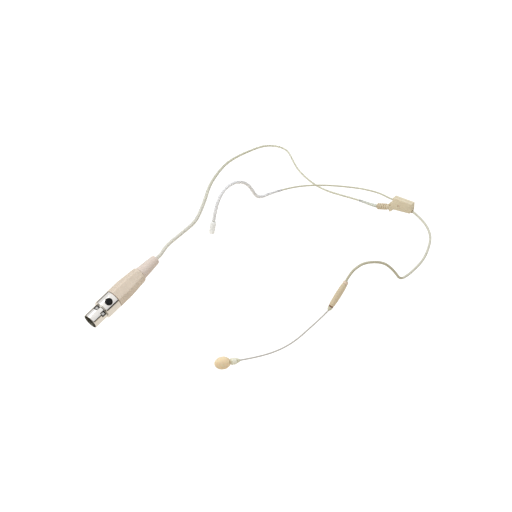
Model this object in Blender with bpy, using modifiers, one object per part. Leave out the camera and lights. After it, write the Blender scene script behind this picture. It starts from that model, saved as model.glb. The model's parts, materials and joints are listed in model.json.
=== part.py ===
"""Headset microphone: a double ear-hook, behind-the-neck headset with a boom and a small latching plug.

Lengths below are millimetres; MM turns them into Blender's metres.
The frame has its origin on the nape block's inner face, between its two ends. +X points to the wearer's left,
-Y the way the wearer faces, and +Z up. The block is turned a little about +Z.
"""

import math

import bmesh
import bpy
from mathutils import Matrix, Vector

MM = 0.001
MERGE = 0.00001
ROUND_STEPS = 20
SHELL_STEPS = 24
FINE_STEPS = 12

# Nape block. Its own frame has the origin on the inner face and +Y outwards through the block.
BLOCK_DEPTH = 4.2
BLOCK_TURN = math.radians(11)
BLOCK_OUTLINE = (
    (-7.2, 5.0), (-7.5, 1.6), (-10.6, -1.3), (-9.2, -6.3), (-8.2, -6.1), (-6.0, -3.7),
    (6.0, -2.9), (7.2, -0.6), (7.0, 4.4))
BLOCK_BEVEL = 0.6
BLOCK_WALL = 0.8
PARTING_GAP = 0.2
MID_DEPTH = BLOCK_DEPTH / 2
POCKET_LOW = (-6.2, -2.7)
POCKET_HIGH = (6.2, 3.8)
SLIDE_HEIGHT = 2.4
SLIDE_MOUTH = -7.0
SLIDE_BUSH_LENGTH = 2.5
SLIDE_END = 5.0
LEFT_EXIT = (7.2, 1.5, -1.5)
LEFT_EXIT_TURN = math.radians(20)
RELIEF_FOOT = (-9.9, MID_DEPTH, -3.8)
RELIEF_DROOP = math.radians(15.5)
RELIEF_LENGTH = 9.3
SCREW_AT = (-2.5, 0.0)
BOSS_RADIUS = 1.25
PIN_AT = (-8.9, -1.2)

# Wires and sleeves.
WIRE_RADIUS = 0.5
TUBE_RADIUS = 0.74
LEAD_RADIUS = 0.3
SLEEVE_WALL = 0.35
WIRE_SLEEVE_RADIUS = 0.98
TUBE_SLEEVE_RADIUS = 1.05
TUBE_SLEEVE_WALL = 0.2
CABLE_RADIUS = 0.7
PLUG_CABLE_RADIUS = 1.0
CABLE_SLEEVE_RADIUS = 1.15
BOOM_RADIUS = 0.52
SPACING = 4.5
RIGHT_SLEEVE_LENGTH = 78
LEFT_SLEEVE_LENGTH = 56
CABLE_SLEEVE_SPAN = (3.0, 20.0)
RIGHT_TIP_LENGTH = 8.0

# Ear hooks: where each hook leaves the band, how far it toes in, and its outline as (forward, up).
RIGHT_DIP = (-75.0, -57.5, -0.5)
RIGHT_TOE = math.radians(8)
LEFT_DIP = (51.8, -63.5, -0.5)
LEFT_TOE = math.radians(14)
RIGHT_HOOK = ((4, 3.6), (9.5, 12), (16, 18.3), (24, 22), (31, 22.8), (38, 20.8), (43, 15.3), (45.4, 9.8))
RIGHT_HOOK_END = ((47.1, 3.8), (49.3, -3.7))
LEFT_HOOK = ((2.5, 1.2), (7.5, 8), (14, 14.6), (22, 18.4), (30, 19.6), (36.5, 16.9), (39.8, 13))
RIGHT_BAND = (
    (-18.4, 0.3, 2.7), (-28.3, 0.2, 1.4), (-40, -2.3, -0.2), (-55.7, -13.2, -0.5), (-67, -27, -0.5),
    (-73, -44, -0.5))
LEFT_BAND = (
    (14.8, -1.5, -1.5), (21, -4.8, -1), (29.3, -10.6, -0.6), (37.5, -19, -0.5), (47.5, -37.6, -0.5),
    (51.5, -54, -0.5))

# Boom holder, on the left hook's front end. Its own frame has +Z down along the holder.
HOLDER_TOP = (41.8, 9.2)
HOLDER_PITCH = math.radians(54.4)
HOLDER_LENGTH = 15.2
HOLDER_RADIUS = 1.95
HOLDER_BORE = 1.1
BOOM_INNER_END = 3.6
BOOM_BEND_AT = 18.6
BOOM_CURVE = ((36.4, -122.6, -12), (32, -134, -21), (27.2, -145.2, -24.9), (22.8, -154.4, -25.7))

# Microphone head. Its own frame starts at the boom's end, with +Z towards the tip.
HEAD_BASE = (18.4, -163.3, -25.5)
HEAD_YAW = math.radians(20.5)
HEAD_PITCH = math.radians(-7.4)
RING_RADIUS = 2.0
RING_SPAN = (2.4, 5.3)
CAPSULE_RADIUS = 1.35
CAPSULE_FRONT = 10.4
SCREEN_CENTRE = 10.45
SCREEN_LENGTH = 9.7
SCREEN_RADIUS = 3.7

# Cable, as one loop round the right ear hook, cut once where it bends.
CABLE_START = (
    (-27, -2, -7.3), (-34.5, -2, -8), (-50, -2.8, -10), (-64, -4.8, -10.6), (-79, -3, -10.6),
    (-97.5, 3.5, -10.5), (-110, 11, -10.5))
CABLE_ARCH = ((-126, 20, -10.5), (-138, 16.5, -10.3), (-142, 5, -10))
CABLE_RETURN = ((-139, -26, -9), (-122, -58, -7), (-101, -84, -5), (-85, -105, -3), (-78, -120, -1.5))
CABLE_CUT_GAP = 0.4
CABLE_STUB = 8.0

# Plug. Its own frame starts at the mating rim, with +Z towards the cable and the button on +X.
PLUG_RIM = (-70.63, -201.68, -26.5)
PLUG_YAW = math.radians(-3.5)
PLUG_PITCH = math.radians(18.6)
PLUG_ROLL = math.radians(33)
PLUG_LENGTH = 57.5
BARREL_RADIUS = 4.95
BARREL_LENGTH = 10.1
BODY_RADIUS = 6.15
BODY_END = 20.1
SHELL_BORE = 4.35
SPIGOT_RADIUS = 5.05
SPIGOT_END = 26.6
INSERT_RADIUS = 3.1
INSERT_FLAT = 2.0
CONTACT_CIRCLE = 1.8
CONTACT_RADIUS = 0.42
WINDOW_AT = 7.8
WINDOW_SIDE = 2.55
WINDOW_WIDTH = 2.7
WINDOW_LENGTH = 3.0
TAB_WIDTH = 1.5
BUTTON_AT = 15.0
BUTTON_RADIUS = 2.25
BUTTON_TOP = 6.75
LATCH_SPAN = (2.75, 3.05)
LATCH_WIDTH = 3.7
LATCH_LENGTH = 11.4
LATCH_CENTRE = 12.4
CLAMP_AT = SPIGOT_END + 0.6
HANDLE_START = 20.4
HANDLE_END = 43.0
HANDLE_SHOULDER = 29.0
HANDLE_FLATS = 6
HANDLE_TURN = math.radians(5)
HANDLE_FLAT_RADIUS = 5.45
HANDLE_FLAT_TILT = math.radians(2.7)
HANDLE_FLAT_SPAN = (22.5, 41.1)
TAIL_START = 43.3
TAIL_LIP = 41.8
TAIL_FLANGE_AT = 40.2
THREAD_PITCH = 1.0

# Colours.
BEIGE = (0.66, 0.55, 0.40)
LIGHT_BEIGE = (0.78, 0.68, 0.57)
OLIVE = (0.42, 0.39, 0.27)
CLEAR_GREY = (0.62, 0.62, 0.60)
CLEAR_WHITE = (0.80, 0.80, 0.74)
WIRE_GREY = (0.48, 0.46, 0.40)
CABLE_BEIGE = (0.69, 0.68, 0.60)
FOAM = (0.80, 0.62, 0.36)
CHROME = (0.85, 0.85, 0.85)
BLACK = (0.02, 0.02, 0.02)
BRASS = (0.78, 0.58, 0.26)
BROWN = (0.40, 0.22, 0.11)
STEEL = (0.60, 0.60, 0.60)
STEEL_LOOK = (STEEL, 0.35, 1.0)


def clear_scene():
    """Remove whatever the scene holds."""
    for obj in list(bpy.data.objects):
        bpy.data.objects.remove(obj)


def new_collection(name):
    """A collection of this name under the scene."""
    collection = bpy.data.collections.new(name)
    bpy.context.scene.collection.children.link(collection)
    return collection


clear_scene()
PARTS = new_collection("headset_microphone")
TOOLS = new_collection("cutters")


def metres(point):
    """A millimetre point as a vector in metres."""
    return Vector(point) * MM


def make_material(name, colour, roughness, metallic=0.0):
    """A Principled material of one colour."""
    material = bpy.data.materials.new(name)
    material.use_nodes = True
    shader = material.node_tree.nodes["Principled BSDF"]
    shader.inputs["Base Color"].default_value = (*colour, 1.0)
    shader.inputs["Roughness"].default_value = roughness
    shader.inputs["Metallic"].default_value = metallic
    return material


def make_empty(name, matrix):
    """An empty that carries the pieces of one frame."""
    empty = bpy.data.objects.new(name, None)
    empty.matrix_world = matrix
    empty.empty_display_size = 5 * MM
    PARTS.objects.link(empty)
    return empty


def add_piece(name, data, frame, look, smooth=True):
    """Put a mesh or curve in the parts collection, in its frame, with its own material."""
    obj = bpy.data.objects.new(name, data)
    PARTS.objects.link(obj)
    obj.parent = frame
    colour, roughness, metallic = look
    data.materials.append(make_material(name + "_material", colour, roughness, metallic))
    if smooth and isinstance(data, bpy.types.Mesh):
        data.shade_smooth()
        data.set_sharp_from_angle(angle=math.radians(35))
    return obj


def make_tool(name, data, frame):
    """A hidden object that only cuts or joins."""
    obj = bpy.data.objects.new(name, data)
    TOOLS.objects.link(obj)
    obj.parent = frame
    obj.hide_render = True
    obj.display_type = "WIRE"
    return obj


def box_mesh(size, centre):
    """A box of this size about a centre."""
    mesh = bpy.data.meshes.new("box")
    shape = bmesh.new()
    bmesh.ops.create_cube(shape, size=1.0)
    bmesh.ops.scale(shape, vec=metres(size), verts=shape.verts)
    bmesh.ops.translate(shape, vec=metres(centre), verts=shape.verts)
    shape.to_mesh(mesh)
    shape.free()
    return mesh


def cylinder_mesh(radius, start, end, steps=ROUND_STEPS, end_radius=None):
    """A closed cylinder or cone between two points."""
    start, end = Vector(start), Vector(end)
    along = end - start
    mesh = bpy.data.meshes.new("cylinder")
    shape = bmesh.new()
    turn = along.to_track_quat("Z", "Y").to_matrix().to_4x4()
    place = Matrix.Translation((start + end) / 2 * MM) @ turn
    bmesh.ops.create_cone(
        shape, cap_ends=True, segments=steps, radius1=radius * MM,
        radius2=(radius if end_radius is None else end_radius) * MM, depth=along.length * MM, matrix=place)
    shape.to_mesh(mesh)
    shape.free()
    return mesh


def boolean(obj, operation, tool):
    """Cut or join with a hidden tool."""
    modifier = obj.modifiers.new(operation.lower(), "BOOLEAN")
    modifier.operation = operation
    modifier.solver = "EXACT"
    modifier.object = tool


def bevel(obj, width, segments=2):
    """Round the edges of a plain solid."""
    modifier = obj.modifiers.new("bevel", "BEVEL")
    modifier.width = width * MM
    modifier.segments = segments
    modifier.limit_method = "ANGLE"


def turned(name, outline, frame, look, steps=ROUND_STEPS, hidden=False):
    """A turned piece from (radius, height) points, down the outer side and back up any bore."""
    mesh = bpy.data.meshes.new(name)
    points = [(radius * MM, 0, height * MM) for radius, height in outline]
    edges = [(i, i + 1) for i in range(len(points) - 1)]
    if outline[0][0] > 0:
        edges.append((len(points) - 1, 0))
    mesh.from_pydata(points, edges, [])
    obj = make_tool(name, mesh, frame) if hidden else add_piece(name, mesh, frame, look)
    screw = obj.modifiers.new("turn", "SCREW")
    screw.axis = "Z"
    screw.steps = steps
    screw.render_steps = steps
    screw.use_merge_vertices = True
    screw.merge_threshold = MERGE
    screw.use_smooth_shade = True
    return obj


def wire(name, points, radius, look):
    """A solid round wire with closed ends."""
    curve = bpy.data.curves.new(name, "CURVE")
    curve.dimensions = "3D"
    curve.bevel_depth = radius * MM
    curve.bevel_resolution = 2
    curve.use_fill_caps = True
    spline = curve.splines.new("POLY")
    spline.points.add(len(points) - 1)
    for knot, point in zip(spline.points, points):
        knot.co = (*metres(point), 1.0)
    return add_piece(name, curve, None, look)


def sleeve(name, points, radius, wall, look):
    """A tube of even wall along a path, open at both ends."""
    obj = wire(name, points, radius, look)
    obj.data.use_fill_caps = False
    solid = obj.modifiers.new("wall", "SOLIDIFY")
    solid.thickness = wall * MM
    solid.offset = -1
    return obj


def smooth_path(controls, spacing=SPACING):
    """Points about `spacing` apart on a Catmull-Rom curve through the control points."""
    knots = [Vector(point) for point in controls]
    knots = [2 * knots[0] - knots[1]] + knots + [2 * knots[-1] - knots[-2]]
    path = [knots[1]]
    for before, start, end, after in zip(knots, knots[1:], knots[2:], knots[3:]):
        steps = max(1, round((end - start).length / spacing))
        for step in range(1, steps + 1):
            t = step / steps
            bend = 2 * before - 5 * start + 4 * end - after
            twist = 3 * start - 3 * end + after - before
            path.append(start + 0.5 * t * ((end - before) + t * (bend + t * twist)))
    return path


def stretch(path, start, end):
    """The points of a path between two distances along it."""
    kept = []
    travelled = 0.0
    for index, point in enumerate(path):
        if index:
            travelled += (point - path[index - 1]).length
        if start <= travelled <= end:
            kept.append(point)
    return kept


def path_length(path):
    """The length of a path."""
    return sum((b - a).length for a, b in zip(path, path[1:]))


def in_ear_plane(dip, toe, side, forward, up):
    """A point of an ear hook, from its distance forward of the dip and its height above it."""
    x = dip[0] - side * math.sin(toe) * forward
    y = dip[1] - math.cos(toe) * forward
    return Vector((x, y, dip[2] + up))


def frame_at(name, place, z_axis, x_hint):
    """An empty at a point with +Z along one direction and +X as near as can be to another."""
    z_axis = Vector(z_axis).normalized()
    y_axis = z_axis.cross(Vector(x_hint)).normalized()
    x_axis = y_axis.cross(z_axis)
    turn = Matrix((x_axis, y_axis, z_axis)).transposed().to_4x4()
    return make_empty(name, Matrix.Translation(metres(place)) @ turn)


def heading(yaw, pitch):
    """The direction the wearer faces, turned to the wearer's right by yaw and down by pitch."""
    level = math.cos(pitch)
    return Vector((-math.sin(yaw) * level, -math.cos(yaw) * level, -math.sin(pitch)))


def block_point(x, y, z):
    """A point of the nape block in the part's frame."""
    return Matrix.Rotation(BLOCK_TURN, 3, "Z") @ Vector((x, y, z))


BLOCK_FRAME = make_empty("block_frame", Matrix.Rotation(BLOCK_TURN, 4, "Z"))
BLOCK_LOOK = (BEIGE, 0.45, 0.0)


def on_relief(distance):
    """A point on the strain relief's axis, outwards from the nozzle, in the block's frame."""
    along = Vector((-math.cos(RELIEF_DROOP), 0, -math.sin(RELIEF_DROOP)))
    return Vector(RELIEF_FOOT) + along * distance


def relief_point(distance):
    """A point on the strain relief's axis, in the part's frame."""
    return block_point(*on_relief(distance))


def on_exit(distance):
    """A point on the left tube's axis in the block, outwards from the block's end."""
    along = Vector((math.cos(LEFT_EXIT_TURN), -math.sin(LEFT_EXIT_TURN), 0))
    return Vector(LEFT_EXIT) + along * distance


def exit_point(distance):
    """A point on the left tube's axis in the block, in the part's frame."""
    return block_point(*on_exit(distance))


RELIEF_FRAME = frame_at("relief_frame", relief_point(0), relief_point(1) - relief_point(0), (0, -1, 0))


def flat_solid(name, outline, depth):
    """A mesh plate with this (x, z) outline, from y = 0 to the depth."""
    curve = bpy.data.curves.new(name, "CURVE")
    curve.dimensions = "2D"
    curve.fill_mode = "BOTH"
    curve.extrude = depth / 2 * MM
    spline = curve.splines.new("POLY")
    spline.points.add(len(outline) - 1)
    for knot, (x, z) in zip(spline.points, outline):
        knot.co = (x * MM, z * MM, 0, 1)
    spline.use_cyclic_u = True
    guide = bpy.data.objects.new(name, curve)
    TOOLS.objects.link(guide)
    mesh = bpy.data.meshes.new_from_object(guide.evaluated_get(bpy.context.evaluated_depsgraph_get()))
    bpy.data.objects.remove(guide)
    shape = bmesh.new()
    shape.from_mesh(mesh)
    bmesh.ops.remove_doubles(shape, verts=shape.verts, dist=MERGE)
    stand_up = Matrix.Translation((0, depth / 2 * MM, 0)) @ Matrix.Rotation(math.pi / 2, 4, "X")
    bmesh.ops.transform(shape, matrix=stand_up, verts=shape.verts)
    shape.to_mesh(mesh)
    shape.free()
    return mesh


def yoke_shell(name, span, pocket_span):
    """One half of the nape block: the outline with its pocket, boss and holes, cut at the parting plane."""
    shell = add_piece(name, flat_solid(name, BLOCK_OUTLINE, BLOCK_DEPTH), BLOCK_FRAME, BLOCK_LOOK)
    bevel(shell, BLOCK_BEVEL)
    (left, bottom), (right, top) = POCKET_LOW, POCKET_HIGH
    low, high = pocket_span
    centre = ((left + right) / 2, (low + high) / 2, (top + bottom) / 2)
    pocket = box_mesh((right - left, high - low, top - bottom), centre)
    boolean(shell, "DIFFERENCE", make_tool(name + "_pocket", pocket, BLOCK_FRAME))
    x, z = SCREW_AT
    near, far = BLOCK_WALL / 2, BLOCK_DEPTH - BLOCK_WALL / 2
    boss = cylinder_mesh(BOSS_RADIUS, (x, near, z), (x, far, z), FINE_STEPS)
    boolean(shell, "UNION", make_tool(name + "_boss", boss, BLOCK_FRAME))
    for index, (radius, start, end) in enumerate(yoke_holes()):
        hole = cylinder_mesh(radius, start, end, FINE_STEPS)
        boolean(shell, "DIFFERENCE", make_tool(f"{name}_hole_{index}", hole, BLOCK_FRAME))
    low, high = span
    keep = box_mesh((60, high - low, 60), (0, (low + high) / 2, 0))
    boolean(shell, "INTERSECT", make_tool(name + "_half", keep, BLOCK_FRAME))
    return shell


def yoke_holes():
    """Radius, start and end of each round hole through the block."""
    screw_x, screw_z = SCREW_AT
    pin_x, pin_z = PIN_AT
    beyond = BLOCK_DEPTH + 1
    return (
        (1.1, (SLIDE_MOUTH - 2, MID_DEPTH, SLIDE_HEIGHT), (SLIDE_MOUTH + 1.5, MID_DEPTH, SLIDE_HEIGHT)),
        (1.25, on_exit(-3), on_exit(2)),
        (1.15, on_relief(-2), on_relief(1)),
        (1.5, on_relief(-3.2), on_relief(-1.1)),
        (0.7, on_relief(-2.4), (-4.5, MID_DEPTH, -1.6)),
        (0.9, (screw_x, -1, screw_z), (screw_x, 1.05, screw_z)),
        (0.5, (screw_x, 0.5, screw_z), (screw_x, BLOCK_DEPTH - 0.7, screw_z)),
        (0.5, (pin_x, -1, pin_z), (pin_x, beyond, pin_z)),
    )


def make_yoke():
    """The nape block and what it holds."""
    half_gap = PARTING_GAP / 2
    yoke_shell("yoke_inner_shell", (-1, MID_DEPTH - half_gap), (BLOCK_WALL, MID_DEPTH + 1))
    outer_pocket = (MID_DEPTH - 1, BLOCK_DEPTH - BLOCK_WALL)
    yoke_shell("yoke_outer_shell", (MID_DEPTH + half_gap, BLOCK_DEPTH + 1), outer_pocket)
    make_yoke_fixings()
    mouth = block_point(SLIDE_MOUTH, MID_DEPTH, SLIDE_HEIGHT)
    slide = frame_at("slide_frame", mouth, block_point(1, 0, 0), (0, -1, 0))
    long = SLIDE_BUSH_LENGTH
    bush = [(0.95, long), (0.95, 0), (0.62, 0), (0.62, long)]
    turned("slide_bush", bush, slide, (BRASS, 0.35, 1.0), FINE_STEPS)
    back, front = long + 0.1, long + 0.9
    ring = [(0.85, front), (0.95, long + 0.5), (0.85, back), (0.62, back), (0.62, front)]
    turned("slide_friction_ring", ring, slide, (BLACK, 0.7, 0.0), FINE_STEPS)
    exit_frame = frame_at("exit_frame", exit_point(-2.6), exit_point(1) - exit_point(0), (0, -1, 0))
    ferrule = [(1.1, 2.7), (1.1, 0), (0.92, 0), (0.92, 2.7)]
    turned("left_tube_ferrule", ferrule, exit_frame, STEEL_LOOK, FINE_STEPS)


def make_yoke_fixings():
    """The screw and the pin that hold the two halves together."""
    x, z = SCREW_AT
    outwards = block_point(0, 1, 0)
    place = frame_at("screw_frame", block_point(x, 0.3, z), outwards, (0, 0, 1))
    outline = [(0, 3.0), (0.38, 2.8), (0.38, 0.65), (0.75, 0.5), (0.75, 0), (0.35, 0), (0.3, 0.25), (0, 0.25)]
    turned("yoke_screw", outline, place, STEEL_LOOK, FINE_STEPS)
    x, z = PIN_AT
    place = frame_at("pin_frame", block_point(x, 0.1, z), outwards, (0, 0, 1))
    outline = [(0, BLOCK_DEPTH - 0.2), (0.4, BLOCK_DEPTH - 0.3), (0.4, 0.1), (0, 0)]
    turned("yoke_pin", outline, place, STEEL_LOOK, FINE_STEPS)


def make_strain_relief():
    """The strain relief: a flange in the nozzle, a round barrel and a ribbed end."""
    end = RELIEF_LENGTH
    ribs = []
    for rib in range(4):
        top = end - 1.8 - 1.5 * rib
        ribs += [(1.6, top + 0.1), (1.9, top - 0.15), (1.9, top - 0.95), (1.6, top - 1.2)]
    outline = [(1.05, end), (1.35, end - 0.4), (1.5, end - 1.5)] + ribs
    outline += [(1.9, 1.7), (1.9, 0.2), (1.0, 0.1), (1.0, -1.3), (1.35, -1.3), (1.35, -2.2)]
    outline += [(0.8, -2.2), (0.8, end)]
    turned("strain_relief", outline, RELIEF_FRAME, (BEIGE, 0.6, 0.0), FINE_STEPS)
    crimp = [(1.35, -2.4), (1.35, -2.9), (0.8, -2.9), (0.8, -2.4)]
    turned("cable_crimp", crimp, RELIEF_FRAME, STEEL_LOOK, FINE_STEPS)


def right_path():
    """The right arm from the block's slide, round the nape and over the ear."""
    start = block_point(SLIDE_MOUTH - 2.5, MID_DEPTH, SLIDE_HEIGHT)
    hook = [in_ear_plane(RIGHT_DIP, RIGHT_TOE, -1, *point) for point in RIGHT_HOOK]
    return smooth_path([start, *RIGHT_BAND, RIGHT_DIP, *hook])


def make_right_arm():
    """The sliding arm: sprung wire, end stop, sleeve and tip."""
    inner_end = block_point(SLIDE_END, MID_DEPTH, SLIDE_HEIGHT)
    path = right_path()
    tip_start, tip_end = [in_ear_plane(RIGHT_DIP, RIGHT_TOE, -1, *point) for point in RIGHT_HOOK_END]
    along = (tip_end - tip_start).normalized()
    wire_end = tip_start + along * 5
    wire("right_arm_wire", [inner_end, *path, tip_start, wire_end], WIRE_RADIUS, (WIRE_GREY, 0.4, 0.6))
    covered = stretch(path, path_length(path) - RIGHT_SLEEVE_LENGTH, path_length(path))
    sleeve_path = covered + [tip_start - along * 0.4]
    sleeve("right_ear_sleeve", sleeve_path, WIRE_SLEEVE_RADIUS, SLEEVE_WALL, (CLEAR_GREY, 0.25, 0.0))
    stop_frame = frame_at("stop_frame", inner_end, block_point(-1, 0, 0), (0, -1, 0))
    stop = [(0, -0.1), (0.62, -0.1), (0.62, 1.0), (0.9, 1.0), (0.9, -0.6), (0.6, -0.9), (0, -0.9)]
    turned("right_wire_stop", stop, stop_frame, STEEL_LOOK, FINE_STEPS)
    tip_frame = frame_at("tip_frame", tip_start, along, (0, -1, 0))
    end = RIGHT_TIP_LENGTH
    tip = [(0, end), (1.2, end), (1.7, end - 0.5), (1.75, 1.2), (1.45, 0), (0.7, 0), (0.7, 5.6), (0, 5.6)]
    turned("right_ear_tip", tip, tip_frame, (CLEAR_WHITE, 0.2, 0.0), FINE_STEPS)


def left_path():
    """The left arm from the block, round the nape and over the ear, as far as the boom holder."""
    hook = [in_ear_plane(LEFT_DIP, LEFT_TOE, 1, *point) for point in LEFT_HOOK]
    return smooth_path([exit_point(0.6), *LEFT_BAND, LEFT_DIP, *hook, holder_point(-0.4)])


HOLDER_PLACE = in_ear_plane(LEFT_DIP, LEFT_TOE, 1, *HOLDER_TOP)
HOLDER_ALONG = heading(LEFT_TOE, HOLDER_PITCH)


def holder_point(distance):
    """A point on the boom holder's axis."""
    return HOLDER_PLACE + HOLDER_ALONG * distance


def make_left_arm():
    """The fixed arm: a fine tube with the microphone's lead inside, and the ear sleeve."""
    path = left_path()
    tube = [exit_point(-2.2), *path, holder_point(1.9)]
    sleeve("left_arm_tube", tube, TUBE_RADIUS, 0.3, (LIGHT_BEIGE, 0.4, 0.0))
    under_boss = [block_point(-4.5, MID_DEPTH, -1.9), block_point(-2.5, MID_DEPTH, -2.1)]
    lead = [relief_point(-3.1), *under_boss, exit_point(-3), *tube, holder_point(2.2)]
    wire("microphone_lead", lead, LEAD_RADIUS, (BLACK, 0.5, 0.0))
    covered = stretch(path, path_length(path) - LEFT_SLEEVE_LENGTH, path_length(path) - 0.5)
    sleeve("left_ear_sleeve", covered, TUBE_SLEEVE_RADIUS, TUBE_SLEEVE_WALL, (OLIVE, 0.45, 0.0))


HOLDER_FRAME = frame_at("holder_frame", HOLDER_PLACE, HOLDER_ALONG, (0, 0, 1))


def make_boom_holder():
    """The spindle on the front of the left hook, which the boom turns and slides in."""
    cap = [(1.25, 2.4), (1.25, 1.55), (1.6, 1.5), (1.45, 0.3), (1.2, 0), (0.95, 0), (0.95, 2.4)]
    turned("holder_cap", cap, HOLDER_FRAME, (LIGHT_BEIGE, 0.45, 0.0), FINE_STEPS)
    outer = []
    start, end, swell = 1.8, HOLDER_LENGTH, HOLDER_RADIUS - 1.5
    for step in range(9):
        share = step / 8
        outer.append((1.5 + swell * math.sin(math.pi * share), end - (end - start) * share))
    bore = [(1.4, start), (1.4, 3.0), (HOLDER_BORE, 3.2), (HOLDER_BORE, end)]
    turned("holder_shell", outer + bore, HOLDER_FRAME, (BEIGE, 0.5, 0.0), FINE_STEPS)
    ring = [(1.4, end + 0.6), (1.5, end + 0.3), (1.4, end + 0.1), (1.05, end + 0.1), (1.05, end + 0.6)]
    turned("holder_ring", ring, HOLDER_FRAME, (BROWN, 0.7, 0.0), FINE_STEPS)
    nose_start = end + 0.8
    nose_end = end + 3
    spigot = end - 2.8
    nose = [
        (0.85, nose_end), (1.3, nose_end - 0.8), (1.45, nose_start), (0.95, nose_start), (0.95, spigot),
        (0.62, spigot), (0.62, nose_end)]
    turned("boom_collar", nose, HOLDER_FRAME, (LIGHT_BEIGE, 0.45, 0.0), FINE_STEPS)


HEAD_ALONG = heading(HEAD_YAW, HEAD_PITCH)
HEAD_FRAME = frame_at("head_frame", HEAD_BASE, HEAD_ALONG, (0, 0, 1))


def make_boom():
    """The boom: a straight rod in the holder, then a long curve to the microphone head."""
    head = Vector(HEAD_BASE)
    curve = smooth_path([holder_point(BOOM_BEND_AT), *BOOM_CURVE, head - HEAD_ALONG * 3])
    rod = [holder_point(BOOM_INNER_END), *curve, head + HEAD_ALONG * 1.4]
    wire("boom_tube", rod, BOOM_RADIUS, (WIRE_GREY, 0.35, 0.6))
    stop = [(0, -0.2), (0.62, -0.2), (0.62, 0.6), (0.9, 0.6), (0.9, -0.9), (0, -0.9)]
    raised = [(radius, height + BOOM_INNER_END) for radius, height in stop]
    turned("boom_stop", raised, HOLDER_FRAME, STEEL_LOOK, FINE_STEPS)


def make_microphone_head():
    """The boot, collar ring, capsule and foam windscreen on the boom's end."""
    boot = [(0, 2.0), (1.3, 2.0), (1.55, 1.7), (0.8, 0), (0.62, 0), (0.62, 1.5), (0, 1.5)]
    turned("capsule_boot", boot, HEAD_FRAME, (BEIGE, 0.5, 0.0), FINE_STEPS)
    back, front = RING_SPAN
    edge = RING_RADIUS - 0.15
    full = RING_RADIUS
    ring = [(edge, front), (full, front - 0.2), (full, back + 0.2), (edge, back), (1.0, back), (1.0, front)]
    turned("capsule_ring", ring, HEAD_FRAME, (LIGHT_BEIGE, 0.45, 0.0))
    front = CAPSULE_FRONT - 0.4
    housing = [(CAPSULE_RADIUS, front), (CAPSULE_RADIUS, 5.3), (0.9, 5.3), (0.9, 2.3), (0.5, 2.3)]
    housing += [(0.5, 5.9), (1.1, 5.9), (1.1, front)]
    turned("capsule_housing", housing, HEAD_FRAME, (OLIVE, 0.4, 0.3), FINE_STEPS)
    cartridge = [(0, CAPSULE_FRONT - 1.0), (1.0, CAPSULE_FRONT - 1.0), (1.0, 6.2), (0, 6.2)]
    turned("microphone_cartridge", cartridge, HEAD_FRAME, STEEL_LOOK, FINE_STEPS)
    make_capsule_grille()
    make_windscreen()


def make_capsule_grille():
    """The front cap of the capsule, with sound holes."""
    top = CAPSULE_FRONT + 0.1
    cap = [(0, top), (CAPSULE_RADIUS, top), (CAPSULE_RADIUS, top - 0.3), (0, top - 0.3)]
    grille = turned("capsule_grille", cap, HEAD_FRAME, STEEL_LOOK, FINE_STEPS)
    for index in range(4):
        angle = math.tau * index / 4
        x, y = 0.7 * math.cos(angle), 0.7 * math.sin(angle)
        hole = cylinder_mesh(0.2, (x, y, top - 1), (x, y, top + 1), 8)
        boolean(grille, "DIFFERENCE", make_tool(f"grille_hole_{index}", hole, HEAD_FRAME))


def make_windscreen():
    """The foam windscreen: an egg with a blind bore for the capsule."""
    half = SCREEN_LENGTH / 2
    bore = CAPSULE_RADIUS + 0.15
    open_angle = math.asin(bore / SCREEN_RADIUS)
    outline = []
    steps = 10
    for step in range(steps + 1):
        angle = (math.pi - open_angle) * step / steps
        outline.append((SCREEN_RADIUS * math.sin(angle), SCREEN_CENTRE + half * math.cos(angle)))
    outline += [(bore, CAPSULE_FRONT + 0.6), (0, CAPSULE_FRONT + 0.6)]
    turned("windscreen", outline, HEAD_FRAME, (FOAM, 0.95, 0.0))


PLUG_ALONG = heading(PLUG_YAW, PLUG_PITCH)


def plug_button_direction():
    """The way the button faces: up, square to the plug, then rolled towards the wearer's left."""
    up = Vector((0, 0, 1))
    upright = (up - PLUG_ALONG * up.dot(PLUG_ALONG)).normalized()
    return Matrix.Rotation(-PLUG_ROLL, 3, PLUG_ALONG) @ upright


PLUG_FRAME = frame_at("plug_frame", PLUG_RIM, -PLUG_ALONG, plug_button_direction())


def plug_point(distance):
    """A point on the plug's axis, from the mating rim towards the cable."""
    return Vector(PLUG_RIM) - PLUG_ALONG * distance


def cable_paths():
    """The headset's run and the plug's run of the cable, with a gap at the bend between them."""
    inner_end = relief_point(-2.8)
    mouth = relief_point(RELIEF_LENGTH + 0.5)
    plug_end = [plug_point(PLUG_LENGTH + CABLE_STUB), plug_point(PLUG_LENGTH + CABLE_STUB / 2)]
    path = [inner_end, *smooth_path([mouth, *CABLE_START, *CABLE_ARCH, *CABLE_RETURN, *plug_end])]
    bend = Vector(CABLE_ARCH[-1])
    cut = min(range(len(path)), key=lambda index: (path[index] - bend).length)
    onward = (path[cut + 1] - path[cut]).normalized() * CABLE_CUT_GAP
    return path[:cut + 1], [path[cut] + onward, *path[cut + 1:], plug_point(CLAMP_AT + 1.5)]


def make_cable():
    """The cable in two runs, and the tapered sleeve beyond the strain relief."""
    headset_run, plug_run = cable_paths()
    look = (CABLE_BEIGE, 0.5, 0.0)
    wire("headset_cable", headset_run, CABLE_RADIUS, look)
    wire("plug_cable", plug_run, PLUG_CABLE_RADIUS, look)
    start, end = CABLE_SLEEVE_SPAN
    covered = stretch(headset_run, RELIEF_LENGTH + start, RELIEF_LENGTH + end)
    sleeve("cable_sleeve", covered, CABLE_SLEEVE_RADIUS, 0.3, (CLEAR_WHITE, 0.35, 0.0))


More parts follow.
